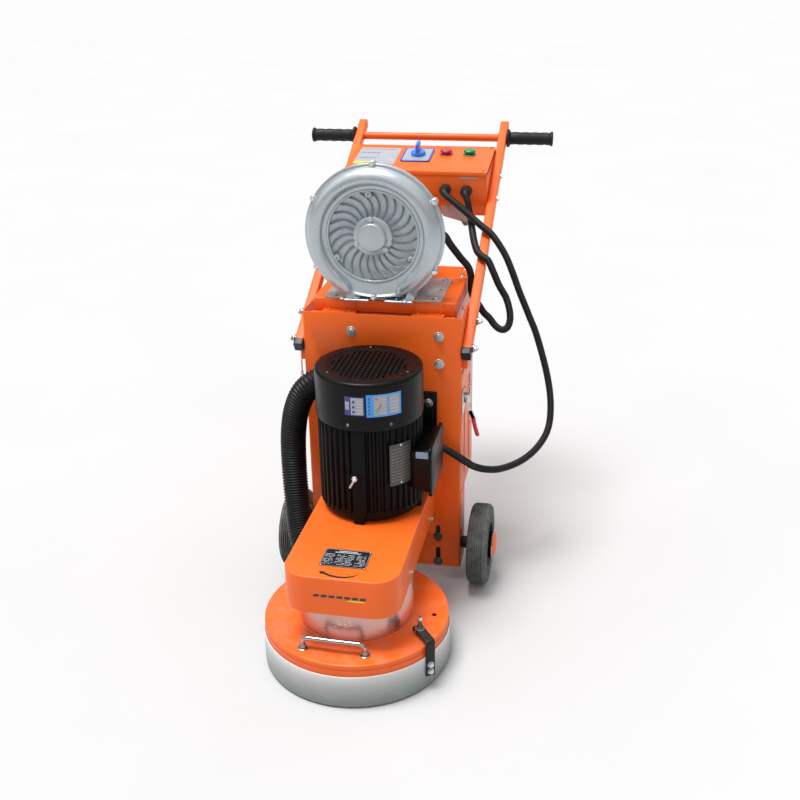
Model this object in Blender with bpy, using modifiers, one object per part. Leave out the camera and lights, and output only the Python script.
# Walk-behind concrete floor grinder: one grinding disc at the front under a
# belt drive, a vertical electric motor, a sheet-metal dust collector with a
# side-channel blower on top, two wheels, and a push handle with a control box.
#
# Modelled in metres with +Z up.  X is left to right as seen from the front,
# Y runs from the grinding disc at the front to the push handle at the rear.
# The design frame has its origin on the floor under the disc's axis;
# WORLD_SHIFT moves everything so that the machine stands centred on the
# world origin.  Names ending in _X, _Y or _Z that hold a pair are spans.

import math
from collections import namedtuple

import bpy
import bmesh
from mathutils import Matrix, Vector

# ---------------------------------------------------------------- shared dimensions
WORLD_SHIFT = Vector((-0.02915, -0.41588, 0.0))   # design frame to world frame

MOTOR_Y = 0.181            # motor axis, behind the spindle axis
MOTOR_R = 0.118            # over the fins
MOTOR_CLEAR_R = MOTOR_R + 0.0007   # hollow of the parts that hug the fins

PANEL_HALF = 0.186         # mast panel, half width
PANEL_Y = 0.3126           # its front face
PANEL_T = 0.003
PANEL_Z = (0.037, 0.690)
SLOT_X = 0.1312            # vertical height-adjusting slots

WHEEL_R = 0.100
AXLE_R = 0.010
AXLE_Y, AXLE_Z = 0.332, WHEEL_R

PORT_X, PORT_Y = -0.135, 0.118     # suction port on the disc cover
INLET_X, INLET_Z = -0.122, 0.545   # suction inlet on the mast panel
INTAKE_X, INTAKE_Y = -0.093, 0.430   # suction passage from the lid up to the blower
INTAKE_HOLE_R = 0.0195

# ---------------------------------------------------------------- finishes
ORANGE = (0.86, 0.13, 0.015)
BLACK = (0.012, 0.012, 0.013)
STEEL = (0.55, 0.55, 0.56)
CASTING = (0.42, 0.43, 0.44)

Finish = namedtuple("Finish", "color roughness metallic", defaults=(0.0,))

# base colour, roughness, metallic (0 where left out)
PAINT = Finish(ORANGE, 0.35)
DULL_PAINT = Finish(ORANGE, 0.4)
GLOSSY_PAINT = Finish(ORANGE, 0.3)
FILTER_PAPER = Finish((0.75, 0.72, 0.62), 0.9)
RED_PLASTIC = Finish((0.65, 0.03, 0.03), 0.4)
SKIRT_GREY = Finish((0.75, 0.76, 0.77), 0.5)
BELT_RUBBER = Finish(BLACK, 0.7)
TYRE_RUBBER = Finish((0.045, 0.052, 0.048), 0.8)
GRIP_RUBBER = Finish((0.015, 0.015, 0.016), 0.7)
HOSE_BLACK = Finish(BLACK, 0.6)
KNOB_BLUE = Finish((0.03, 0.09, 0.45), 0.35)
BUTTON_RED = Finish((0.60, 0.015, 0.015), 0.3)
BUTTON_GREEN = Finish((0.01, 0.28, 0.08), 0.3)
MOTOR_BLACK = Finish(BLACK, 0.4, 0.2)
FOOT_BLACK = Finish(BLACK, 0.45, 0.2)
TERMINAL_BLACK = Finish(BLACK, 0.45, 0.1)
CLIP_BLACK = Finish(BLACK, 0.45, 0.3)
CHASSIS_BLACK = Finish(BLACK, 0.5, 0.3)
CHROME = Finish(STEEL, 0.12, 1.0)
POLISHED_STEEL = Finish(STEEL, 0.2, 1.0)
BEARING_STEEL = Finish(STEEL, 0.25, 1.0)
BRIGHT_STEEL = Finish(STEEL, 0.3, 1.0)
ROTOR_STEEL = Finish(STEEL, 0.4, 1.0)
SHEET_STEEL = Finish(STEEL, 0.4, 0.9)
DULL_STEEL = Finish(STEEL, 0.45, 1.0)
SWITCH_GREY = Finish((0.50, 0.52, 0.55), 0.4, 0.3)
SHOE_METAL = Finish((0.30, 0.29, 0.27), 0.7, 0.6)
STATOR_BROWN = Finish((0.25, 0.16, 0.10), 0.5, 0.6)
IMPELLER_METAL = Finish((0.6, 0.6, 0.6), 0.4, 1.0)
PULLEY_CAST = Finish(CASTING, 0.4, 1.0)
BLOWER_CAST = Finish(CASTING, 0.45, 0.9)
ROUGH_CAST = Finish(CASTING, 0.5, 0.8)

# ---------------------------------------------------------------- scene reset
for old in list(bpy.data.objects):
    bpy.data.objects.remove(old, do_unlink=True)
for old in list(bpy.data.collections):
    bpy.data.collections.remove(old)

PARTS = bpy.data.collections.new("concrete_grinder")
CUTTERS = bpy.data.collections.new("cutters")     # holds bodies while they are worked on
bpy.context.scene.collection.children.link(PARTS)
bpy.context.scene.collection.children.link(CUTTERS)
CUTTERS.hide_render = True


# ---------------------------------------------------------------- working bodies
def add_body(data):
    body = bpy.data.objects.new("body", data)
    CUTTERS.objects.link(body)
    return body


def add_bmesh(bm):
    mesh = bpy.data.meshes.new("body")
    bm.to_mesh(mesh)
    bm.free()
    return add_body(mesh)


def as_mesh(body):
    """Replace a body by the plain mesh its modifiers or curve make."""
    bpy.context.view_layer.update()
    depsgraph = bpy.context.evaluated_depsgraph_get()
    mesh = bpy.data.meshes.new_from_object(body.evaluated_get(depsgraph))
    mesh.transform(body.matrix_world)
    bm = bmesh.new()
    bm.from_mesh(mesh)
    bmesh.ops.remove_doubles(bm, verts=bm.verts, dist=2e-6)
    bmesh.ops.dissolve_degenerate(bm, dist=1e-6, edges=bm.edges)
    bmesh.ops.recalc_face_normals(bm, faces=bm.faces)
    bm.to_mesh(mesh)
    bm.free()
    old_data = body.data
    bpy.data.objects.remove(body, do_unlink=True)
    if isinstance(old_data, bpy.types.Curve):
        bpy.data.curves.remove(old_data)
    return add_body(mesh)


def box(x_span, y_span, z_span, bevel=0.0, side=1):
    """Box between three spans; side -1 mirrors the X span to the left."""
    spans = [sorted(side * x for x in x_span), y_span, z_span]
    centre = [(low + high) / 2 for low, high in spans]
    size = [high - low for low, high in spans]
    bm = bmesh.new()
    bmesh.ops.create_cube(bm, size=1.0)
    matrix = Matrix.Translation(centre) @ Matrix.Diagonal((*size, 1))
    bmesh.ops.transform(bm, matrix=matrix, verts=bm.verts)
    body = add_bmesh(bm)
    if bevel:
        modifier = body.modifiers.new("Bevel", "BEVEL")
        modifier.width = bevel
        modifier.segments = 1
        body = as_mesh(body)
    return body


def rod(start, end, radius, segments=24, end_radius=None):
    start, end = Vector(start), Vector(end)
    along = end - start
    bm = bmesh.new()
    bmesh.ops.create_cone(bm, cap_ends=True, segments=segments, radius1=radius,
                          radius2=radius if end_radius is None else end_radius,
                          depth=along.length)
    turn = Vector((0, 0, 1)).rotation_difference(along.normalized()).to_matrix().to_4x4()
    bmesh.ops.transform(bm, matrix=Matrix.Translation((start + end) / 2) @ turn, verts=bm.verts)
    return add_bmesh(bm)


def rod_x(x_span, y, z, radius, segments=24):
    return rod((x_span[0], y, z), (x_span[1], y, z), radius, segments)


def rod_y(x, y_span, z, radius, segments=24):
    return rod((x, y_span[0], z), (x, y_span[1], z), radius, segments)


def rod_z(x, y, z_span, radius, segments=24):
    return rod((x, y, z_span[0]), (x, y, z_span[1]), radius, segments)


# turns the profile's height axis onto each world axis
AXIS_TURN = {"X": Matrix.Rotation(math.pi / 2, 4, "Y"),
             "Y": Matrix.Rotation(-math.pi / 2, 4, "X"),
             "Z": Matrix.Identity(4)}


def turned(profile, segments, origin=(0, 0, 0), axis="Z", closed=True):
    """Profile of (radius, height) points swept round an axis with Screw.

    A closed profile makes a ring.  An open one starts and ends on the axis.
    """
    mesh = bpy.data.meshes.new("body")
    count = len(profile)
    edges = [(i, i + 1) for i in range(count - 1)]
    if closed:
        edges.append((count - 1, 0))
    mesh.from_pydata([(radius, 0, height) for radius, height in profile], edges, [])
    body = add_body(mesh)
    screw = body.modifiers.new("Screw", "SCREW")
    screw.axis = "Z"
    screw.angle = 2 * math.pi
    screw.steps = screw.render_steps = segments
    screw.use_merge_vertices = True
    screw.merge_threshold = 1e-5
    screw.use_normal_calculate = True
    body.matrix_world = Matrix.Translation(origin) @ AXIS_TURN[axis]
    return as_mesh(body)


def poly_spline(curve, points):
    """Add an open spline through (x, y, z) points."""
    spline = curve.splines.new("POLY")
    spline.points.add(len(points) - 1)
    for target, point in zip(spline.points, points):
        target.co = (*point, 1)
    return spline


def prism(loops, span, plane="XY"):
    """Flat outline, with any holes as further loops, extruded over the span."""
    curve = bpy.data.curves.new("body", "CURVE")
    curve.dimensions = "2D"
    curve.fill_mode = "BOTH"
    curve.extrude = (span[1] - span[0]) / 2
    for loop in loops:
        poly_spline(curve, [(u, v, 0) for u, v in loop]).use_cyclic_u = True
    body = add_body(curve)
    middle = (span[0] + span[1]) / 2
    if plane == "XY":
        body.matrix_world = Matrix.Translation((0, 0, middle))
    elif plane == "XZ":
        body.matrix_world = (Matrix.Translation((0, middle, 0))
                             @ Matrix.Rotation(math.pi / 2, 4, "X"))
    else:
        body.matrix_world = Matrix(((0, 0, 1, middle), (1, 0, 0, 0), (0, 1, 0, 0), (0, 0, 0, 1)))
    return as_mesh(body)


def pipe(path, radius, resolution=2):
    curve = bpy.data.curves.new("body", "CURVE")
    curve.dimensions = "3D"
    curve.fill_mode = "FULL"
    curve.bevel_depth = radius
    curve.bevel_resolution = resolution
    curve.use_fill_caps = True
    poly_spline(curve, path)
    return as_mesh(add_body(curve))


def boolean(body, other, operation):
    other.hide_render = True
    modifier = body.modifiers.new("Boolean", "BOOLEAN")
    modifier.object = other
    modifier.operation = operation
    modifier.solver = "EXACT"
    result = as_mesh(body)
    bpy.data.objects.remove(other, do_unlink=True)
    return result


def cut(body, *others):
    for other in others:
        body = boolean(body, other, "DIFFERENCE")
    return body


def join(body, *others):
    for other in others:
        body = boolean(body, other, "UNION")
    return body


def hollow_pipe(path, radius, bore, start_step, end_step):
    """Open pipe; the steps carry its bore past either end of the path."""
    bore_path = [path[0] + Vector(start_step)] + path + [path[-1] + Vector(end_step)]
    return cut(pipe(path, radius, 3), pipe(bore_path, bore, 3))


def moved(body, matrix):
    body.data.transform(matrix)
    return body


def copied(body, matrix):
    return moved(add_body(body.data.copy()), matrix)


def mirrored(body):
    copy = copied(body, Matrix.Diagonal((-1, 1, 1, 1)))
    copy.data.flip_normals()
    return copy


def sloped_frame(start, end):
    """Matrix taking local Y onto the line from start to end, which lies in a YZ plane."""
    along = (end - start).normalized()
    return Matrix(((1, 0, 0, 0),
                   (0, along.y, -along.z, start.y),
                   (0, along.z, along.y, start.z),
                   (0, 0, 0, 1)))


# ---------------------------------------------------------------- outlines and paths
def arc(x, y, radius, start, end, steps):
    angles = [start + (end - start) * i / steps for i in range(steps + 1)]
    return [(x + radius * math.cos(a), y + radius * math.sin(a)) for a in angles]


def circle(x, y, radius, count):
    angles = [2 * math.pi * i / count for i in range(count)]
    return [(x + radius * math.cos(a), y + radius * math.sin(a)) for a in angles]


def upright_slot(x, z_low, z_high, width, steps=8):
    radius = width / 2
    return (arc(x, z_high - radius, radius, 0, math.pi, steps)
            + arc(x, z_low + radius, radius, math.pi, 2 * math.pi, steps))


def toothed(y, outer, inner, teeth):
    """Outline of flat-topped teeth round a centre at x = 0."""
    points = []
    half_pitch = math.pi / teeth
    for i in range(teeth):
        angle = 2 * math.pi * i / teeth
        for radius, share in ((outer, -0.3), (outer, 0.3), (inner, 0.85), (inner, 1.15)):
            a = angle + half_pitch * share
            points.append((radius * math.cos(a), y + radius * math.sin(a)))
    return points


def smooth_path(points, step):
    """Catmull-Rom path through the points, resampled at about the step."""
    points = [Vector(point) for point in points]
    points = [2 * points[0] - points[1]] + points + [2 * points[-1] - points[-2]]
    path = []
    for a, b, c, d in zip(points, points[1:], points[2:], points[3:]):
        count = max(1, round((c - b).length / step))
        for i in range(count):
            t = i / count
            path.append(0.5 * ((2 * b) + (c - a) * t + (2 * a - 5 * b + 4 * c - d) * t * t
                               + (3 * b - a - 3 * c + d) * t ** 3))
    path.append(points[-2])
    return path


# ---------------------------------------------------------------- finishing
def paint(part, finish):
    material = bpy.data.materials.new(part.name)
    material.use_nodes = True
    shader = material.node_tree.nodes["Principled BSDF"]
    shader.inputs["Base Color"].default_value = (*finish.color, 1.0)
    shader.inputs["Roughness"].default_value = finish.roughness
    shader.inputs["Metallic"].default_value = finish.metallic
    part.data.materials.clear()
    part.data.materials.append(material)


def place(name, body, origin, finish):
    """Name a finished piece and move it to the parts, its origin on the given point."""
    body.name = body.data.name = name
    origin = Vector(origin)
    body.data.transform(Matrix.Translation(-origin))
    body.location = origin + WORLD_SHIFT
    CUTTERS.objects.unlink(body)
    PARTS.objects.link(body)
    paint(body, finish)
    body.data.shade_smooth()
    body.data.set_sharp_from_angle(angle=math.radians(35))


def place_pair(name, right, origin, finish):
    """Place a right-hand piece and its mirror image."""
    left = mirrored(right)
    x, y, z = origin
    place(name + "_right", right, origin, finish)
    place(name + "_left", left, (-x, y, z), finish)


def cable_gland(x, y_span, z):
    inner, outer = 0.0095, 0.0130
    front, back = y_span
    return turned([(inner, front), (inner, back), (outer, back), (outer, front)],
                  16, (x, 0, z), "Y")


# ---------------------------------------------------------------- mast and dust collector
SLOT_W = 0.0115
SPIGOT_BORE = 0.0203       # stub the suction hose pushes onto
SPIGOT_R = 0.0220
SPIGOT_LENGTH = 0.0180

SHEET_T = 0.002            # walls of the housing, lid and bin
HOUSING_HALF = 0.1665
HOUSING_Y = (0.3160, 0.6360)
HOUSING_Z = (0.5580, 0.6845)
LID_HALF = 0.167
LID_Y = (0.343, HOUSING_Y[1])
LID_Z = (0.6850, 0.7150)
BIN_Y = (0.3168, 0.5150)
BIN_Z = (0.2405, 0.5555)

CARTRIDGE_Y = (0.350, 0.600)
CARTRIDGE_Z = 0.622        # its axis

LATCH_Y = (0.330, 0.338)
LEVER_PIVOT = (0.1985, 0.490)      # x and z
HOOK_PIVOT = (0.2015, 0.470)       # on the lever, x and z


def make_front_panel():
    # channel folded from sheet
    front, back = PANEL_Y, PANEL_Y + PANEL_T
    outside, inside = PANEL_HALF, PANEL_HALF - PANEL_T
    flange = 0.430
    channel = [(-outside, front), (outside, front), (outside, flange), (inside, flange),
               (inside, back), (-inside, back), (-inside, flange), (-outside, flange)]
    through = (front - 0.01, back + 0.01)
    # flanges cut away where the dust bin sits, and shortened below it
    panel = cut(prism([channel], PANEL_Z),
                box((-0.25, 0.25), (back + 0.0006, 0.50), (0.2385, 0.5585)),
                box((-0.25, 0.25), (0.385, 0.50), (PANEL_Z[0] - 0.05, 0.2400)))
    for side in (-1, 1):
        for z_low, z_high in ((0.0440, 0.0900), (0.1056, 0.1516)):
            slot = upright_slot(side * SLOT_X, z_low, z_high, SLOT_W, 5)
            panel = cut(panel, prism([slot], through, "XZ"))
        axle_slot = upright_slot(AXLE_Y, AXLE_Z - 0.0115, AXLE_Z + 0.037, 0.0215, 6)
        flange_x = (side * outside - 0.010, side * outside + 0.010)
        panel = cut(panel, prism([axle_slot], flange_x, "YZ"))
    panel = cut(panel, rod_y(INLET_X, through, INLET_Z, SPIGOT_BORE, 20))
    # shelf the dust bin rests on
    shelf_half = outside - 0.001
    panel = join(panel, box((-shelf_half, shelf_half), (front + 0.001, 0.500), (0.2345, 0.2375)))
    # latch catches on the upper flanges, clear of the legs
    for side in (-1, 1):
        panel = join(panel, box((outside - 0.001, 0.1985), (0.326, 0.346), (0.5650, 0.5880),
                                side=side))
    spigot = turned([(SPIGOT_BORE, 0.0), (SPIGOT_BORE, SPIGOT_LENGTH),
                     (SPIGOT_R, SPIGOT_LENGTH), (SPIGOT_R, 0.0)],
                    20, (INLET_X, 0.296, INLET_Z), "Y")
    place("front_panel", join(panel, spigot), (0, front, PANEL_Z[0]), PAINT)


def make_housing():
    front, back = HOUSING_Y
    bottom, top = HOUSING_Z
    inside = HOUSING_HALF - SHEET_T
    step_y = LID_Y[0] + SHEET_T    # open above behind this line, roofed in front of it
    housing = cut(
        box((-HOUSING_HALF, HOUSING_HALF), HOUSING_Y, HOUSING_Z),
        box((-inside, inside), (step_y, back - SHEET_T), (bottom + SHEET_T, top + 0.02)),
        box((-inside, inside), (front + SHEET_T, step_y + 0.001),
            (bottom + SHEET_T, top - SHEET_T)),
        # opening down into the bin
        box((-0.12, 0.12), (0.345, 0.490), (bottom - 0.01, bottom + 0.01)),
        rod_y(INLET_X, (front - 0.01, front + 0.01), INLET_Z, 0.0225, 24))
    place("filter_housing", housing, (0, (front + back) / 2, bottom), PAINT)


def make_filter_cartridge():
    pleats = toothed(CARTRIDGE_Z, 0.052, 0.044, 16)
    cartridge = prism([pleats, circle(0, CARTRIDGE_Z, 0.034, 16)], CARTRIDGE_Y, "XZ")
    place("filter_cartridge", cartridge, (0, CARTRIDGE_Y[0], CARTRIDGE_Z), FILTER_PAPER)


def make_lid():
    front, back = LID_Y
    bottom, top = LID_Z
    inside = LID_HALF - SHEET_T
    lid = cut(box((-LID_HALF, LID_HALF), LID_Y, LID_Z, bevel=0.0015),
              box((-inside, inside), (front + SHEET_T, back - SHEET_T),
                  (bottom - 0.01, top - SHEET_T)))
    # tabs reaching forward over the housing's roof
    for tab_x in ((-0.141, -0.061), (0.068, 0.144)):
        lid = join(lid, box(tab_x, (0.3185, front + 0.001), (0.6875, 0.6900)))
    # suction passage down into the housing
    lid = cut(lid, rod_z(INTAKE_X, INTAKE_Y, (top - 0.02, top + 0.01), INTAKE_HOLE_R, 20))
    place("lid", lid, (0, back, bottom), PAINT)


def make_dust_bin():
    front, back = BIN_Y
    bottom, top = BIN_Z
    inside = PANEL_HALF - SHEET_T
    dust_bin = cut(box((-PANEL_HALF, PANEL_HALF), BIN_Y, BIN_Z),
                   box((-inside, inside), (front + SHEET_T, back - SHEET_T),
                       (bottom + SHEET_T, top + 0.02)))
    pivot_x, pivot_z = LEVER_PIVOT
    for side in (-1, 1):
        # latch pad with two ears and a pivot pin
        dust_bin = join(dust_bin, box((PANEL_HALF - 0.001, 0.1900), (0.3240, 0.3480),
                                      (0.452, 0.506), side=side))
        for ear_y in ((0.3265, 0.3295), (0.3385, 0.3405)):
            dust_bin = join(dust_bin, box((0.1895, 0.2040), ear_y, (0.484, 0.496), side=side))
        dust_bin = join(dust_bin, rod_y(side * pivot_x, (0.3270, 0.3400), pivot_z, 0.0025, 12))
    pull_z = 0.430
    pull = pipe([(x, y, pull_z) for x, y in (
        (-0.055, 0.5145), (-0.055, 0.540), (-0.048, 0.547),
        (0.048, 0.547), (0.055, 0.540), (0.055, 0.5145))], 0.005)
    place("dust_bin", join(dust_bin, pull), (0, front, bottom), PAINT)


def make_latch_levers():
    # lever hanging down and slightly outward from its pivot; (x, z) points
    outline = [(0.1940, 0.4850), (0.1940, 0.4950), (0.2030, 0.4955), (0.2040, 0.4850),
               (0.2070, 0.4650), (0.2170, 0.4300), (0.2130, 0.4290), (0.2000, 0.4600),
               (0.1965, 0.4750)]
    middle_y = 0.334
    lever = prism([outline, circle(*LEVER_PIVOT, 0.0029, 12)], LATCH_Y, "XZ")
    grip = rod((0.2110, middle_y, 0.4420), (0.2235, middle_y, 0.3940), 0.0062, 12)
    pin = rod_y(HOOK_PIVOT[0], (LATCH_Y[0] + 0.002, 0.3455), HOOK_PIVOT[1], 0.0020, 10)
    lever = join(lever, grip, pin)
    place_pair("latch_lever", lever, (LEVER_PIVOT[0], middle_y, LEVER_PIVOT[1]), RED_PLASTIC)


def make_latch_hooks():
    # pull hook with its lip over the catch; (x, z) points
    outline = [(0.1975, 0.4640), (0.2055, 0.4640), (0.2055, 0.5935), (0.1925, 0.5935),
               (0.1925, 0.5884), (0.2010, 0.5884), (0.2010, 0.4990), (0.1975, 0.4760)]
    hook = prism([outline, circle(*HOOK_PIVOT, 0.0023, 10)], (0.3410, 0.3450), "XZ")
    place_pair("latch_hook", hook, (HOOK_PIVOT[0], 0.343, HOOK_PIVOT[1]), BRIGHT_STEEL)


# ---------------------------------------------------------------- grinding head
BASE_Z = (0.1960, 0.2040)
BASE_HALF = 0.118

COVER_HALF = 0.124         # belt cover, half width
COVER_Y = (-0.157, 0.3118)
COVER_Z = (0.1960, 0.2840)
COVER_T = 0.0025
COVER_CORNER_R = 0.055

DRUM_R = 0.1265            # spindle housing
DRUM_Z = (0.1075, 0.1955)

DISC_R = 0.2050            # disc cover, outer radius
DISC_TOP = 0.1070
DISC_RIM = 0.0620          # lower edge of the cover's rim
PORT_BORE = 0.0205
PORT_R = 0.0225

SKIRT_R = 0.2085           # dust skirt
SKIRT_T = 0.0027
SKIRT_Z = (0.0040, 0.0800)
CLIP_ANGLE = math.atan2(-0.1075, 0.183)    # where the skirt clips reach the rim

SHAFT_BORE = 0.0125        # of the bearings and pulleys
BEARING_H = 0.016
SPINDLE_PULLEY_R = 0.0660  # groove radius
MOTOR_PULLEY_R = 0.0440    # groove radius
PULLEY_Z = (0.2150, 0.2550)
PLATE_R = 0.178            # grinding plate
SHOE_R = 0.143             # middle of a shoe from the disc's axis


def make_base_plate():
    outline = (arc(0, 0, BASE_HALF, math.pi, 2 * math.pi, 20)
               + [(BASE_HALF, 0.3120), (-BASE_HALF, 0.3120)])
    place("base_plate", prism([outline, circle(0, 0, 0.030, 24)], BASE_Z),
          (0, 0, BASE_Z[0]), DULL_PAINT)


def cover_outline(half, front, back, corner):
    left = arc(-half + corner, front + corner, corner, math.pi, 1.5 * math.pi, 8)
    right = arc(half - corner, front + corner, corner, 1.5 * math.pi, 2 * math.pi, 8)
    return [(-half, back)] + left + right + [(half, back)]


def make_belt_cover():
    front, back = COVER_Y
    bottom, top = COVER_Z
    outside = cover_outline(COVER_HALF, front, back, COVER_CORNER_R)
    inside = cover_outline(COVER_HALF - COVER_T, front + COVER_T, back + 0.02,
                           COVER_CORNER_R - COVER_T)
    cover = cut(prism([outside], COVER_Z),
                prism([inside], (bottom - 0.01, top - COVER_T)),
                rod_z(0, MOTOR_Y, (0.27, 0.30), 0.030, 24))
    place("belt_cover", cover, (0, 0, bottom), PAINT)


def make_spindle_housing():
    bottom, top = DRUM_Z
    wall = 0.008
    bore, hub = 0.0310, 0.045
    drum = turned([(bore, top), (DRUM_R, top), (DRUM_R, bottom), (DRUM_R - wall, bottom),
                   (DRUM_R - wall, top - wall), (hub, top - wall), (hub, bottom + 0.001),
                   (bore, bottom + 0.001)], 36)
    place("spindle_housing", drum, (0, 0, bottom), POLISHED_STEEL)


def make_disc_cover():
    bore = 0.0455
    inside = DISC_R - 0.0025
    cover = turned([(bore, DISC_TOP), (DISC_R - 0.002, DISC_TOP), (DISC_R, DISC_TOP - 0.002),
                    (DISC_R, DISC_RIM), (inside, DISC_RIM), (inside, DISC_TOP - 0.003),
                    (bore, DISC_TOP - 0.003)], 48)
    # suction port, and a small hole on the right
    through = (0.09, 0.12)
    cover = cut(cover, rod_z(PORT_X, PORT_Y, through, PORT_BORE, 20),
                rod_z(0.1736, 0.006, through, 0.006, 16))
    port_top, port_foot = 0.135, DISC_TOP - 0.002
    port = turned([(PORT_BORE, port_top), (PORT_R, port_top), (PORT_R, port_foot),
                   (PORT_BORE, port_foot)], 20, (PORT_X, PORT_Y, 0))
    place("disc_cover", join(cover, port), (0, 0, DISC_TOP), GLOSSY_PAINT)


def make_skirt():
    bottom, top = SKIRT_Z
    inside = SKIRT_R - SKIRT_T
    skirt = turned([(inside, top), (SKIRT_R, top), (SKIRT_R, bottom), (inside, bottom)], 48)
    for i in range(2):
        slot = prism([upright_slot(0, 0.0290, 0.0660, 0.0080)], (0.190, 0.220), "XZ")
        angle = CLIP_ANGLE + i * math.pi - math.pi / 2
        skirt = cut(skirt, moved(slot, Matrix.Rotation(angle, 4, "Z")))
    place("skirt", skirt, (0, 0, bottom), SKIRT_GREY)


def make_clips():
    # flat arm from a stud on the disc cover out to the skirt's rim
    rim_r = 0.2140
    stud = Vector((0.1557, -0.0704))
    rim = Vector((rim_r * math.cos(CLIP_ANGLE), rim_r * math.sin(CLIP_ANGLE)))
    along = (rim - stud).normalized()
    across = Vector((-along.y, along.x)) * 0.010
    start = stud - along * 0.012
    arm = [tuple(start + across), tuple(start - across), tuple(rim - across), tuple(rim + across)]
    clip = prism([arm], (0.1185, 0.1225))
    # leg down the rim, with two bolts into the skirt's slot
    turn = Matrix.Rotation(CLIP_ANGLE, 4, "Z")
    clip = join(clip, moved(box((0.2120, 0.2160), (-0.0125, 0.0125), (0.0320, 0.1225)), turn))
    for z in (0.0450, 0.0620):
        clip = join(clip, moved(rod_x((0.2062, 0.2150), 0, z, 0.0030, 12), turn),
                    moved(rod_x((0.2150, 0.2205), 0, z, 0.0058, 6), turn))
    # stud, nut and spacer: z span, radius, segments
    for z_span, radius, segments in (((0.1080, 0.1510), 0.0040, 12),
                                     ((0.1220, 0.1290), 0.0080, 6),
                                     ((0.1075, 0.1190), 0.0085, 12)):
        clip = join(clip, rod_z(stud.x, stud.y, z_span, radius, segments))
    left = copied(clip, Matrix.Rotation(math.pi, 4, "Z"))
    place("clip_right", clip, (stud.x, stud.y, 0.1075), CLIP_BLACK)
    place("clip_left", left, (-stud.x, -stud.y, 0.1075), CLIP_BLACK)


def make_grab_handle():
    left_x, left_y = -0.079, -0.160
    right_x, right_y = 0.056, -0.162
    top, foot, underside = 0.1340, 0.110, 0.1074
    handle = pipe([(left_x, left_y, foot), (left_x, left_y, top - 0.014),
                   (left_x + 0.004, left_y, top - 0.004), (left_x + 0.014, left_y, top),
                   (right_x - 0.014, right_y, top), (right_x - 0.004, right_y, top - 0.004),
                   (right_x, right_y, top - 0.014), (right_x, right_y, foot)], 0.005)
    for x, y in ((left_x, left_y), (right_x, right_y)):
        handle = join(handle, rod_z(x, y, (underside, 0.1115), 0.0115, 20),
                      rod_z(x, y, (0.1112, 0.1165), 0.0080, 6))
    place("grab_handle", handle, (left_x, left_y, underside), CHROME)


def make_spindle():
    profile = [(0, 0.2600), (0.0120, 0.2600), (0.0120, 0.0600), (0.0400, 0.0600),
               (0.0400, 0.0500), (0, 0.0500)]
    place("spindle", turned(profile, 24, closed=False), (0, 0, 0), BRIGHT_STEEL)


def make_bearing(name, bottom):
    top = bottom + BEARING_H
    ring = turned([(SHAFT_BORE, top), (0.0180, top), (0.0190, bottom + 0.0145), (0.0305, top),
                   (0.0305, bottom), (SHAFT_BORE, bottom)], 20)
    place(name, ring, (0, 0, bottom), BEARING_STEEL)


def make_pulley(name, groove, y):
    bottom, top = PULLEY_Z
    rim = groove + 0.0035
    pulley = turned([(SHAFT_BORE, top), (rim, top), (rim, top - 0.0025), (groove, top - 0.0032),
                     (groove, bottom + 0.0032), (rim, bottom + 0.0025), (rim, bottom),
                     (SHAFT_BORE, bottom)], 24, (0, y, 0))
    place(name, pulley, (0, y, bottom), PULLEY_CAST)


def belt_loop(offset):
    """Loop round both pulleys at an offset from their grooves."""
    spindle_r = SPINDLE_PULLEY_R + offset
    motor_r = MOTOR_PULLEY_R + offset
    lean = math.asin((spindle_r - motor_r) / MOTOR_Y)
    return (arc(0, 0, spindle_r, math.pi - lean, 2 * math.pi + lean, 14)
            + arc(0, MOTOR_Y, motor_r, lean, math.pi - lean, 14))


def make_drive_belt():
    belt = prism([belt_loop(0.0009), belt_loop(0.0049)], (0.2190, 0.2510))
    place("drive_belt", belt, (0, MOTOR_Y / 2, 0.219), BELT_RUBBER)


def make_grinding_plate():
    profile = [(0, 0.0496), (0.045, 0.0496), (0.045, 0.0340), (PLATE_R, 0.0340),
               (PLATE_R, 0.0220), (0, 0.0220)]
    place("grinding_plate", turned(profile, 36, closed=False), (0, 0, 0), DULL_STEEL)


def make_shoes():
    wedge = [(0.105, -0.022), (0.168, -0.036), (0.168, 0.036), (0.105, 0.022)]
    shoe = prism([wedge], (0.0110, 0.0217))
    for y in (-0.018, 0.018):
        shoe = join(shoe, rod_z(SHOE_R, y, (0.0, 0.0120), 0.0130, 16))
    angles = [2 * math.pi * i / 3 for i in range(3)]
    shoes = [shoe] + [copied(shoe, Matrix.Rotation(a, 4, "Z")) for a in angles[1:]]
    for i, (body, angle) in enumerate(zip(shoes, angles)):
        place(f"shoe_{i + 1}", body,
              (SHOE_R * math.cos(angle), SHOE_R * math.sin(angle), 0.0), SHOE_METAL)


# ---------------------------------------------------------------- drive motor
FRAME_Z = (0.3000, 0.5145)
COWL_R = 0.120
COWL_Z = (0.5150, 0.6240)
COWL_T = 0.0016
MOTOR_AXIS = (0, MOTOR_Y, 0)


def round_motor(index, count):
    """Matrix carrying a body from the world axis to its turn round the motor's axis."""
    return Matrix.Translation(MOTOR_AXIS) @ Matrix.Rotation(2 * math.pi * index / count, 4, "Z")


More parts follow.
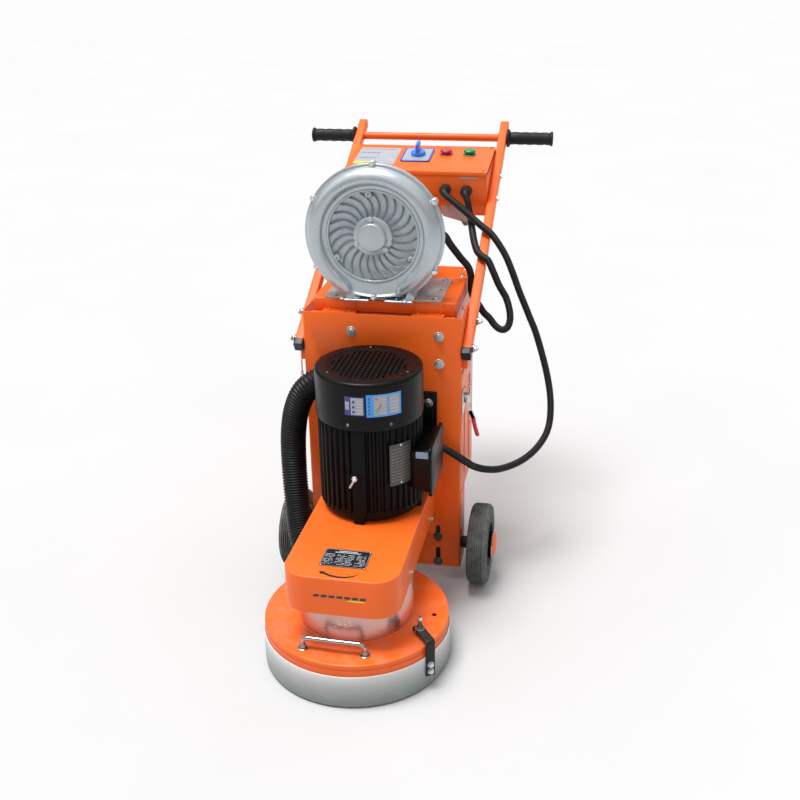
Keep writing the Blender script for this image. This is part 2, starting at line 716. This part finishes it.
def make_motor_frame():
    fins = toothed(MOTOR_Y, MOTOR_R, 0.104, 28)
    frame = prism([fins, circle(0, MOTOR_Y, 0.0960, 28)], FRAME_Z)
    drive_end = turned([(0.0165, 0.2950), (0.0165, 0.2848), (0.098, 0.2848), (0.110, 0.2930),
                        (0.112, 0.3020), (0.0940, 0.3020), (0.0940, 0.2950)], 28, MOTOR_AXIS)
    fan_end = turned([(0.0165, 0.5140), (0.1000, 0.5140), (0.1000, 0.5060), (0.0165, 0.5060)],
                     28, MOTOR_AXIS)
    place("motor_frame", join(frame, drive_end, fan_end), (0, MOTOR_Y, FRAME_Z[0]), MOTOR_BLACK)


def make_motor_cowl():
    bottom, top = COWL_Z
    inside = COWL_R - COWL_T
    cowl = turned([(0, top), (0.108, top), (0.1165, top - 0.0035), (COWL_R, top - 0.012),
                   (COWL_R, bottom), (inside, bottom), (inside, top - 0.0125),
                   (0.1155, top - 0.005), (0.1075, top - 0.0018), (0, top - 0.0018)],
                  36, MOTOR_AXIS, closed=False)
    for i in range(8):
        slit = box((0.030, 0.080), (-0.0045, 0.0045), (top - 0.02, top + 0.02))
        cowl = cut(cowl, moved(slit, round_motor(i, 8)))
    place("motor_cowl", cowl, (0, MOTOR_Y, bottom), MOTOR_BLACK)


def make_stator():
    profile = [(0.0600, 0.485), (0.0800, 0.485), (0.0948, 0.470), (0.0948, 0.345),
               (0.0800, 0.330), (0.0600, 0.330)]
    place("stator", turned(profile, 28, MOTOR_AXIS), (0, MOTOR_Y, 0.33), STATOR_BROWN)


def make_motor_rotor():
    # shaft, core and fan disc in one, then the fan's blades
    rotor = turned([(0, 0.580), (0.0120, 0.580), (0.0250, 0.576), (0.0250, 0.550),
                    (0.0880, 0.550), (0.0880, 0.547), (0.0120, 0.547), (0.0120, 0.475),
                    (0.0570, 0.475), (0.0570, 0.340), (0.0120, 0.340), (0.0120, 0.210),
                    (0, 0.210)], 20, MOTOR_AXIS, closed=False)
    for i in range(6):
        blade = box((0.023, 0.0860), (-0.0012, 0.0012), (0.549, 0.585))
        rotor = join(rotor, moved(blade, round_motor(i + 0.5, 6)))
    place("motor_rotor", rotor, (0, MOTOR_Y, 0.2), ROTOR_STEEL)


def make_terminal_box():
    case = cut(box((0.100, 0.1447), (0.111, 0.251), (0.350, 0.455), bevel=0.003),
               rod_z(0, MOTOR_Y, (0.33, 0.47), MOTOR_CLEAR_R, 48),
               box((0.1240, 0.150), (0.115, 0.247), (0.354, 0.451)))
    case = join(case, cable_gland(0.1290, (0.2500, 0.2620), 0.385))
    place("terminal_box", case, (0.120, MOTOR_Y, 0.40), TERMINAL_BLACK)


def make_terminal_lid():
    lid = cut(box((0.1450, 0.1555), (0.104, 0.258), (0.343, 0.462), bevel=0.003),
              box((0.140, 0.1520), (0.108, 0.254), (0.347, 0.458)))
    place("terminal_lid", lid, (0.145, MOTOR_Y, 0.40), TERMINAL_BLACK)


def make_motor_foot():
    foot = box((-0.130, 0.130), (0.3045, 0.3122), (0.330, 0.510), bevel=0.002)
    for side in (-1, 1):
        foot = join(foot, box((0.060, 0.100), (0.240, 0.306), (0.345, 0.497), side=side))
    foot = cut(foot, rod_z(0, MOTOR_Y, (0.31, 0.53), MOTOR_CLEAR_R, 48))
    place("motor_foot", foot, (0, 0.3122, 0.33), FOOT_BLACK)


# ---------------------------------------------------------------- wheels
AXLE_ORIGIN = (0, AXLE_Y, AXLE_Z)
AXLE_HOLE_R = AXLE_R + 0.0005
WHEEL_X = (0.209, 0.259)
WHEEL_MIDDLE = (sum(WHEEL_X) / 2, AXLE_Y, AXLE_Z)

# bolts through the panel's slots: y span, radius, segments
CARRIAGE_BOLT = (
    ((0.3080, 0.3190), 0.0050, 8),     # shank
    ((0.3100, 0.3122), 0.0116, 14),    # washer
    ((0.3040, 0.3105), 0.0087, 6),     # head
)


def make_wheel_carriage():
    carriage = join(box((-0.150, 0.150), (0.3160, 0.3212), (0.0375, 0.1600)),
                    rod_x((-0.160, 0.160), AXLE_Y, AXLE_Z, 0.0155, 16))
    carriage = cut(carriage, rod_x((-0.17, 0.17), AXLE_Y, AXLE_Z, AXLE_HOLE_R, 16))
    for side in (-1, 1):
        for z in (0.0496, 0.1210):
            for y_span, radius, segments in CARRIAGE_BOLT:
                carriage = join(carriage, rod_y(side * SLOT_X, y_span, z, radius, segments))
    place("wheel_carriage", carriage, AXLE_ORIGIN, CHASSIS_BLACK)


def make_axle():
    axle = rod_x((-0.262, 0.262), AXLE_Y, AXLE_Z, AXLE_R, 16)
    for side in (-1, 1):
        collar = rod_x((side * 0.1875, side * 0.2080), AXLE_Y, AXLE_Z, 0.0150, 16)
        axle = join(axle, collar)
    place("axle", axle, AXLE_ORIGIN, CHASSIS_BLACK)


def make_tyres():
    inner, outer = WHEEL_X
    tyre = turned([(0.0620, inner + 0.002), (0.0900, inner), (0.0965, inner + 0.003),
                   (WHEEL_R, inner + 0.010), (WHEEL_R, outer - 0.010), (0.0965, outer - 0.003),
                   (0.0900, outer), (0.0620, outer - 0.002)], 32, AXLE_ORIGIN, "X")
    place_pair("tyre", tyre, WHEEL_MIDDLE, TYRE_RUBBER)


def make_rims():
    rim = turned([(0, 0.2735), (0.018, 0.2705), (0.028, 0.2605), (0.030, 0.2450),
                  (0.052, 0.2400), (0.0555, 0.2560), (0.0615, 0.2560), (0.0615, 0.2120),
                  (0.0540, 0.2120), (0.052, 0.2320), (0.020, 0.2360), (0.020, 0.2120),
                  (AXLE_HOLE_R, 0.2120), (AXLE_HOLE_R, 0.2650), (0, 0.2650)],
                 24, AXLE_ORIGIN, "X", closed=False)
    place_pair("rim", rim, WHEEL_MIDDLE, DULL_PAINT)


# ---------------------------------------------------------------- handle
LEG_X = (0.1865, 0.2085)
LEG_FOOT = Vector((0, 0.312, 0.606))     # ends of a leg's centreline
LEG_TOP = Vector((0, 1.035, 1.000))
LEG_H = 0.025
LEG_T = 0.002
BAR_R = 0.010
BAR_YZ = (0.986, 0.973)
GRIP_X = (0.2095, 0.332)
GRIP_WAISTS = 3


def make_legs():
    length = (LEG_TOP - LEG_FOOT).length
    half = LEG_H / 2
    leg = cut(box(LEG_X, (0, length), (-half, half), bevel=0.0015),
              box((LEG_X[0] + LEG_T, LEG_X[1] - LEG_T), (0.004, length + 0.02),
                  (-half + LEG_T, half - LEG_T)))
    leg = cut(moved(leg, sloped_frame(LEG_FOOT, LEG_TOP)),
              rod_x((0.17, 0.23), *BAR_YZ, BAR_R + 0.0006, 14))
    place_pair("leg", leg, (sum(LEG_X) / 2, LEG_FOOT.y, LEG_FOOT.z), PAINT)


def make_cross_bar():
    bar = cut(rod_x((-0.325, 0.325), *BAR_YZ, BAR_R, 16),
              rod_x((-0.340, 0.340), *BAR_YZ, BAR_R - 0.002, 16))
    place("cross_bar", bar, (0, *BAR_YZ), PAINT)


def make_grips():
    inner, outer = GRIP_X
    bore = BAR_R + 0.0007
    bore_end = 0.3265
    profile = [(0, outer), (0.0180, outer), (0.0195, outer - 0.0015), (0.0195, outer - 0.0045),
               (0.0170, outer - 0.006)]
    # shallow waists between the end cap and the inner flange
    length = (outer - 0.008) - (inner + 0.009)
    for i in range(GRIP_WAISTS):
        x = outer - 0.008 - length * (i + 0.5) / GRIP_WAISTS
        profile += [(0.0163, x + length * 0.36 / GRIP_WAISTS), (0.0150, x)]
    profile += [(0.0165, inner + 0.009), (0.0235, inner + 0.0055), (0.0240, inner + 0.0035),
                (0.0235, inner), (bore, inner), (bore, bore_end), (0, bore_end)]
    grip = turned(profile, 14, (0, *BAR_YZ), "X", closed=False)
    place_pair("grip", grip, (inner, *BAR_YZ), GRIP_RUBBER)


# ---------------------------------------------------------------- control box
# control panel's upper face, front and rear edge
PANEL_FRONT = Vector((0, 0.740, 0.930))
PANEL_REAR = Vector((0, 0.927, 0.960))
PANEL_ALONG = (PANEL_REAR - PANEL_FRONT).normalized()
PANEL_NORMAL = Vector((0, -PANEL_ALONG.z, PANEL_ALONG.y))

# x and y on the panel
KNOB = (-0.009, 0.849)
STOP = (0.0627, 0.865)
START = (0.1245, 0.866)
KNOB_HOLE_R = 0.0055


def along_panel(y):
    """Distance up the slope from the panel's front edge."""
    return (y - PANEL_FRONT.y) / PANEL_ALONG.y


def on_panel(x, y, height=0.0):
    """Point at a height above the control panel."""
    point = PANEL_FRONT + PANEL_ALONG * along_panel(y) + PANEL_NORMAL * height
    return Vector((x, point.y, point.z))


def panel_box(x_span, y_span, heights, bevel=0.0):
    body = box(x_span, [along_panel(y) for y in y_span], heights, bevel)
    return moved(body, sloped_frame(PANEL_FRONT, PANEL_REAR))


def panel_rod(spot, heights, radius, segments, end_radius=None):
    """Rod square to the panel at an (x, y) spot."""
    return rod(on_panel(*spot, heights[0]), on_panel(*spot, heights[1]), radius, segments,
               end_radius)


def make_control_box():
    # (y, z) points of the side view, outside and inside
    outside = [(0.740, 0.8430), (0.927, 0.8650), (0.927, 0.9575), (0.740, 0.9275)]
    inside = [(0.742, 0.8452), (0.925, 0.8672), (0.925, 0.990), (0.742, 0.990)]
    case = cut(prism([outside], (-0.186, 0.186), "YZ"), prism([inside], (-0.184, 0.184), "YZ"))
    # apron below the rear wall, and a bracket hanging from the floor; (x, z) points
    apron = [(-0.1855, 0.8800), (-0.1855, 0.8050), (-0.160, 0.7740), (0.160, 0.7740),
             (0.1855, 0.8050), (0.1855, 0.8800)]
    bracket = [(0.0580, 0.8510), (0.0640, 0.8013), (0.1153, 0.7878), (0.1222, 0.7787),
               (0.1315, 0.7803), (0.1340, 0.8510)]
    case = join(case, prism([apron], (0.9235, 0.9265), "XZ"),
                prism([bracket], (0.7985, 0.8015), "XZ"))
    for x, z in ((0.081, 0.885), (0.135, 0.883)):
        case = join(case, cable_gland(x, (0.7230, 0.7412), z))
    place("control_box", case, (0, 0.74, 0.843), PAINT)


def make_control_panel():
    panel = panel_box((-0.1858, 0.1858), (0.7405, 0.9270), (-0.002, 0.0))
    for spot in (STOP, START):
        panel = join(panel, panel_rod(spot, (-0.001, 0.0040), 0.0150, 16))
        panel = cut(panel, panel_rod(spot, (-0.02, 0.02), 0.0115, 16))
    panel = cut(panel, panel_rod(KNOB, (-0.02, 0.02), KNOB_HOLE_R, 16))
    place("control_panel", panel, (0, 0.84, 0.945), PAINT)


def make_switch():
    plate = cut(panel_box((-0.050, 0.028), (0.803, 0.897), (0.0003, 0.0035), bevel=0.001),
                panel_rod(KNOB, (-0.02, 0.02), KNOB_HOLE_R, 16))
    place("switch_plate", plate, on_panel(-0.011, 0.85, 0.0003), SWITCH_GREY)

    x, y = KNOB
    stem = panel_rod(KNOB, (-0.016, 0.006), 0.0050, 12)
    dial = panel_rod(KNOB, (0.0042, 0.0130), 0.0190, 24, end_radius=0.0165)
    blade = panel_box((x - 0.0050, x + 0.0050), (y - 0.0200, y + 0.0200), (0.0120, 0.0360),
                      bevel=0.0020)
    place("switch_knob", join(stem, dial, blade), on_panel(*KNOB), KNOB_BLUE)


def make_button(name, spot, finish):
    place(name, panel_rod(spot, (-0.012, 0.0078), 0.0110, 16), on_panel(*spot), finish)


# ---------------------------------------------------------------- blower
BLOWER_X, BLOWER_Z = -0.018, 0.8673      # blower axis, which runs along Y
BLOWER_AXIS = (BLOWER_X, 0, BLOWER_Z)
BLOWER_SEAM = (BLOWER_X, 0.350, BLOWER_Z)
BLOWER_FOOT = 0.7190                     # underside, on the mounting plate
MOUNT_Z = (0.7153, 0.7186)

# (radius, y) profiles
FRONT_SHELL = (
    (0, 0.3130), (0.0260, 0.3130), (0.0310, 0.3180), (0.0310, 0.3300), (0.0450, 0.3340),
    (0.1080, 0.3340), (0.1110, 0.3300), (0.1200, 0.3180), (0.1350, 0.3120), (0.1480, 0.3200),
    (0.1535, 0.3340), (0.1540, 0.3440), (0.1640, 0.3440), (0.1640, 0.3497), (0.1480, 0.3497),
    (0.1480, 0.3380), (0.1430, 0.3250), (0.1350, 0.3175), (0.1230, 0.3225), (0.1155, 0.3335),
    (0.1100, 0.3385), (0, 0.3385),
)
REAR_SHELL = (
    (0.1480, 0.3500), (0.1640, 0.3500), (0.1640, 0.3555), (0.1540, 0.3555), (0.1540, 0.3740),
    (0.1440, 0.3870), (0.1300, 0.3920), (0.0160, 0.3920), (0.0160, 0.3860), (0.1280, 0.3860),
    (0.1390, 0.3810), (0.1480, 0.3710),
)
IMPELLER = (
    (0, 0.3430), (0.0200, 0.3430), (0.0200, 0.3470), (0.1120, 0.3470), (0.1120, 0.3440),
    (0.1420, 0.3440), (0.1420, 0.3600), (0.0200, 0.3600), (0.0100, 0.3700), (0.0100, 0.4200),
    (0.0350, 0.4200), (0.0350, 0.5000), (0.0100, 0.5000), (0.0100, 0.5300), (0, 0.5300),
)
BLOWER_MOTOR = (
    (0.0125, 0.3924), (0.0700, 0.3924), (0.0750, 0.3980), (0.0750, 0.5400), (0.0800, 0.5400),
    (0.0800, 0.5700), (0.0740, 0.5770), (0.0300, 0.5770), (0.0300, 0.5745), (0.0730, 0.5745),
    (0.0775, 0.5690), (0.0775, 0.5430), (0.0690, 0.5430), (0.0690, 0.4000), (0.0125, 0.4000),
)


def with_feet(shell, foot_y, bore_y, trim_y):
    """Add two feet to a shell and trim its flange flat above the mounting plate."""
    for side in (-1, 1):
        foot_x = [BLOWER_X + side * x for x in (0.030, 0.078)]
        foot = cut(box(foot_x, foot_y, (BLOWER_FOOT, 0.7420)),
                   rod_y(BLOWER_X, bore_y, BLOWER_Z, 0.1500, 36))
        shell = join(shell, foot)
    return cut(shell, box((BLOWER_X - 0.2, BLOWER_X + 0.2), trim_y, (0.690, BLOWER_FOOT)))


def make_blower_front():
    shell = turned(FRONT_SHELL, 36, BLOWER_AXIS, "Y", closed=False)
    for i in range(8):
        rib = box((0.029, 0.1120), (0.3265, 0.3350), (-0.0012, 0.0012))
        turn = Matrix.Rotation(2 * math.pi * i / 8 + 0.13, 4, "Y")
        shell = join(shell, moved(rib, Matrix.Translation(BLOWER_AXIS) @ turn))
    shell = with_feet(shell, foot_y=(0.3200, 0.3495), bore_y=(0.310, 0.360),
                      trim_y=(0.300, 0.360))
    place("blower_front", shell, BLOWER_SEAM, BLOWER_CAST)


def make_blower_rear():
    shell = with_feet(turned(REAR_SHELL, 36, BLOWER_AXIS, "Y"), foot_y=(0.3502, 0.3740),
                      bore_y=(0.340, 0.390), trim_y=(0.340, 0.400))
    silencer_x, silencer_z = BLOWER_X + 0.078, 0.785
    shell = join(shell, rod_y(silencer_x, (0.3900, 0.4900), silencer_z, 0.0280, 18))
    shell = cut(shell, rod_y(silencer_x, (0.3950, 0.5100), silencer_z, 0.0250, 18))
    place("blower_rear", shell, BLOWER_SEAM, BLOWER_CAST)


def make_impeller():
    # impeller, shaft and motor core in one
    place("impeller", turned(IMPELLER, 24, BLOWER_AXIS, "Y", closed=False), BLOWER_SEAM,
          IMPELLER_METAL)


def make_blower_motor():
    motor = turned(BLOWER_MOTOR, 24, BLOWER_AXIS, "Y")
    # box on the side where the cable enters
    cable_box = cut(box((0.0520, 0.0880), (0.4200, 0.4900), (0.8260, 0.8900), bevel=0.002),
                    rod_y(BLOWER_X, (0.40, 0.50), BLOWER_Z, 0.0730, 24))
    place("blower_motor", join(motor, cable_box), (BLOWER_X, 0.3924, BLOWER_Z), ROUGH_CAST)


def make_blower_plate():
    outline = [(-0.140, 0.346), (0.134, 0.346), (0.134, 0.520), (-0.140, 0.520)]
    plate = prism([outline, circle(INTAKE_X, INTAKE_Y, INTAKE_HOLE_R, 20)], MOUNT_Z)
    place("blower_plate", plate, (0, 0.433, MOUNT_Z[0]), SHEET_STEEL)


def make_blower_intake():
    # elbow from the rear shell down to the plate; (y, z) points
    elbow = [(0.3926, 0.785), (0.3990, 0.785), (0.4080, 0.785), (0.4220, 0.777),
             (INTAKE_Y, 0.758), (INTAKE_Y, 0.738), (INTAKE_Y, 0.7190)]
    path = smooth_path([(INTAKE_X, y, z) for y, z in elbow], 0.010)
    intake = hollow_pipe(path, 0.0220, 0.0190, start_step=(0, -0.01, 0), end_step=(0, 0, -0.01))
    place("blower_intake", intake, (INTAKE_X, INTAKE_Y, 0.719), ROUGH_CAST)


# ---------------------------------------------------------------- hose and cables
HOSE_R = 0.0305
HOSE_BORE = 0.0242         # the cuffs slip over the spigots
CABLE_R = 0.009

# (x, y, z) stations; the hose runs from the disc cover's port to the panel's inlet
HOSE_PATH = (
    (PORT_X, PORT_Y, 0.1080), (PORT_X, PORT_Y, 0.1320), (-0.1400, 0.123, 0.1470),
    (-0.1530, 0.136, 0.1620), (-0.169, 0.157, 0.1830), (-0.181, 0.182, 0.212),
    (-0.192, 0.208, 0.2550), (-0.201, 0.230, 0.318), (-0.2040, 0.242, 0.376),
    (-0.2020, 0.247, 0.4200), (-0.1940, 0.249, 0.4650), (-0.1780, 0.251, 0.5060),
    (-0.157, 0.255, 0.5310), (-0.136, 0.265, 0.5430), (-0.1240, 0.280, INLET_Z),
    (INLET_X, 0.294, INLET_Z), (INLET_X, 0.3122, INLET_Z),
)
# from the control box to the drive motor's terminal box
MOTOR_CABLE_PATH = (
    (0.081, 0.7385, 0.885), (0.081, 0.7120, 0.885), (0.091, 0.692, 0.8790),
    (0.121, 0.677, 0.8610), (0.154, 0.657, 0.8410), (0.187, 0.640, 0.8190),
    (0.2150, 0.627, 0.8010), (0.247, 0.615, 0.7600), (0.268, 0.606, 0.718),
    (0.289, 0.598, 0.667), (0.316, 0.588, 0.608), (0.337, 0.580, 0.560),
    (0.366, 0.562, 0.470), (0.380, 0.540, 0.400), (0.378, 0.515, 0.340),
    (0.355, 0.485, 0.300), (0.318, 0.450, 0.276), (0.272, 0.415, 0.268),
    (0.236, 0.385, 0.279), (0.212, 0.350, 0.303), (0.2035, 0.318, 0.327),
    (0.188, 0.295, 0.350), (0.164, 0.286, 0.370), (0.140, 0.283, 0.382),
    (0.1292, 0.2695, 0.385), (0.1290, 0.2610, 0.385), (0.1290, 0.2525, 0.385),
)
# from the control box to the box on the blower's motor
BLOWER_CABLE_PATH = (
    (0.135, 0.7385, 0.883), (0.135, 0.7120, 0.882), (0.1415, 0.704, 0.868),
    (0.150, 0.694, 0.836), (0.160, 0.660, 0.8100), (0.172, 0.612, 0.790),
    (0.186, 0.572, 0.7740), (0.2020, 0.553, 0.7660), (0.2160, 0.544, 0.7600),
    (0.2295, 0.537, 0.7350), (0.2450, 0.532, 0.7030), (0.2630, 0.527, 0.6740),
    (0.2730, 0.518, 0.6460), (0.2755, 0.511, 0.6240), (0.2700, 0.506, 0.6060),
    (0.2570, 0.504, 0.6000), (0.2410, 0.505, 0.6090), (0.2250, 0.508, 0.6280),
    (0.2120, 0.512, 0.638), (0.198, 0.520, 0.655), (0.1840, 0.528, 0.672),
    (0.1773, 0.531, 0.690), (0.1768, 0.531, 0.722), (0.170, 0.530, 0.746),
    (0.150, 0.525, 0.772), (0.130, 0.508, 0.806), (0.120, 0.478, 0.836),
    (0.106, 0.4605, 0.8455), (0.0890, 0.4600, 0.8460),
)


def make_hose():
    hose = hollow_pipe(smooth_path(HOSE_PATH, 0.030), HOSE_R, HOSE_BORE,
                       start_step=(0, 0, -0.01), end_step=(0, 0.01, 0))
    place("suction_hose", hose, HOSE_PATH[0], HOSE_BLACK)


def make_cable(name, points, step):
    place(name, pipe(smooth_path(points, step), CABLE_R), points[0], HOSE_BLACK)


# ---------------------------------------------------------------- build
make_front_panel()
make_housing()
make_filter_cartridge()
make_lid()
make_dust_bin()
make_latch_levers()
make_latch_hooks()

make_base_plate()
make_belt_cover()
make_spindle_housing()
make_disc_cover()
make_skirt()
make_clips()
make_grab_handle()
make_spindle()
make_bearing("bearing_upper", 0.1500)
make_bearing("bearing_lower", 0.1120)
make_pulley("spindle_pulley", SPINDLE_PULLEY_R, 0)
make_pulley("motor_pulley", MOTOR_PULLEY_R, MOTOR_Y)
make_drive_belt()
make_grinding_plate()
make_shoes()

make_motor_frame()
make_motor_cowl()
make_stator()
make_motor_rotor()
make_terminal_box()
make_terminal_lid()
make_motor_foot()

make_wheel_carriage()
make_axle()
make_tyres()
make_rims()

make_legs()
make_cross_bar()
make_grips()

make_control_box()
make_control_panel()
make_switch()
make_button("stop_button", STOP, BUTTON_RED)
make_button("start_button", START, BUTTON_GREEN)

make_blower_front()
make_blower_rear()
make_impeller()
make_blower_motor()
make_blower_plate()
make_blower_intake()

make_hose()
make_cable("motor_cable", MOTOR_CABLE_PATH, 0.030)
make_cable("blower_cable", BLOWER_CABLE_PATH, 0.026)
